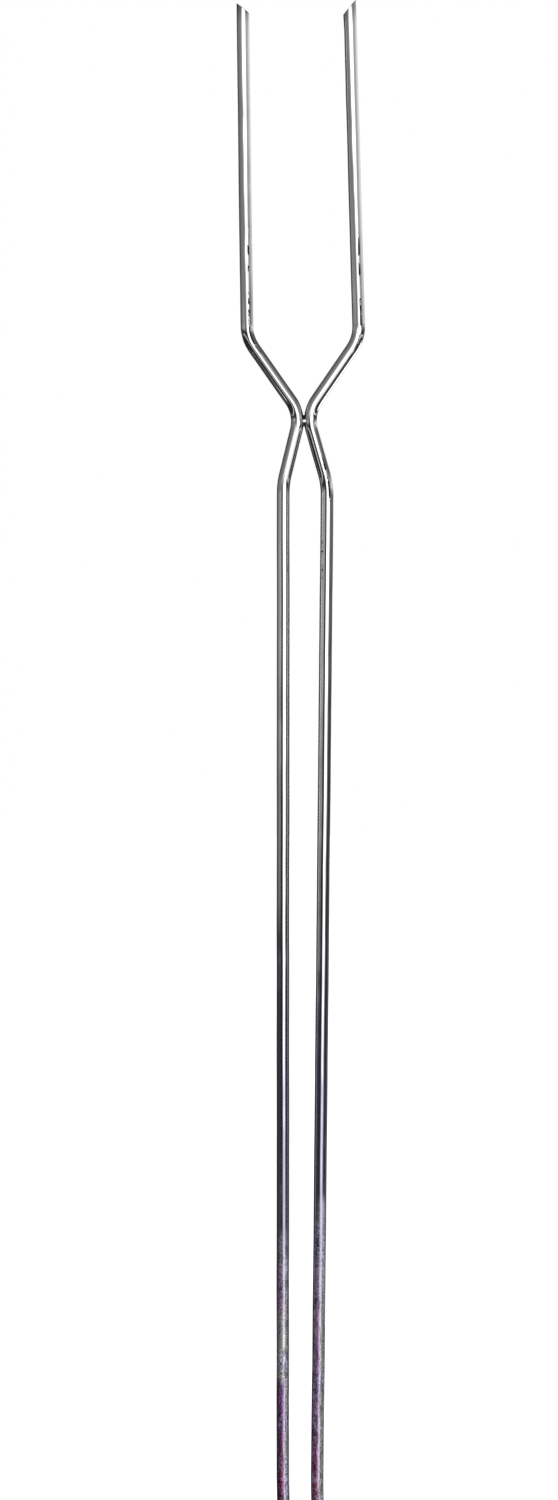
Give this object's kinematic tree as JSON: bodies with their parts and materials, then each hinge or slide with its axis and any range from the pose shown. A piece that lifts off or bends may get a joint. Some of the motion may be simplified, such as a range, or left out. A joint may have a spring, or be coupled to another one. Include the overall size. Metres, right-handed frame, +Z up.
{
  "type": "marshmallow roasting fork",
  "caption": "Roasting fork of two bent steel wires welded at the neck, bevelled points, turned wooden handle with ferrule and swinging wire hanging bail.",
  "frame": {"origin": "the hanging point: where the inside of the bail's crown rests on a hook, on the fork's centre line", "axes": "+Z up the fork from the handle to the tine points, +X across the tines to the right-hand tine, +Y through the fork from front to back"},
  "size_m": [0.0321, 0.0252, 0.5488],
  "materials": {
    "tine_wire": "bright polished steel wire, duller and faintly heat tinted towards the handle",
    "weld": "fused nugget, plated over",
    "handle_wood": "turned hardwood, satin lacquer",
    "ferrule_steel": "drawn steel, bright nickel plated, lightly scuffed",
    "brass": "worn brass",
    "bail_wire": "bright plated wire"
  },
  "bodies": {
    "fork": {"left_wire": "tine_wire", "right_wire": "tine_wire", "neck_weld": "weld", "handle_grip": "handle_wood", "ferrule": "ferrule_steel", "ferrule_brads": "brass", "tang_rivets": "brass", "rivet_washers": "brass", "bail_sleeve": "brass"},
    "bail": {"hang_bail": "bail_wire"}
  },
  "joints": [
    {"name": "bail_swing", "type": "hinge", "parent": "fork", "child": "bail", "pos_m": [0, 0, 0.028], "axis": [1, 0, 0], "range_deg": [-156, 156]}
  ]
}
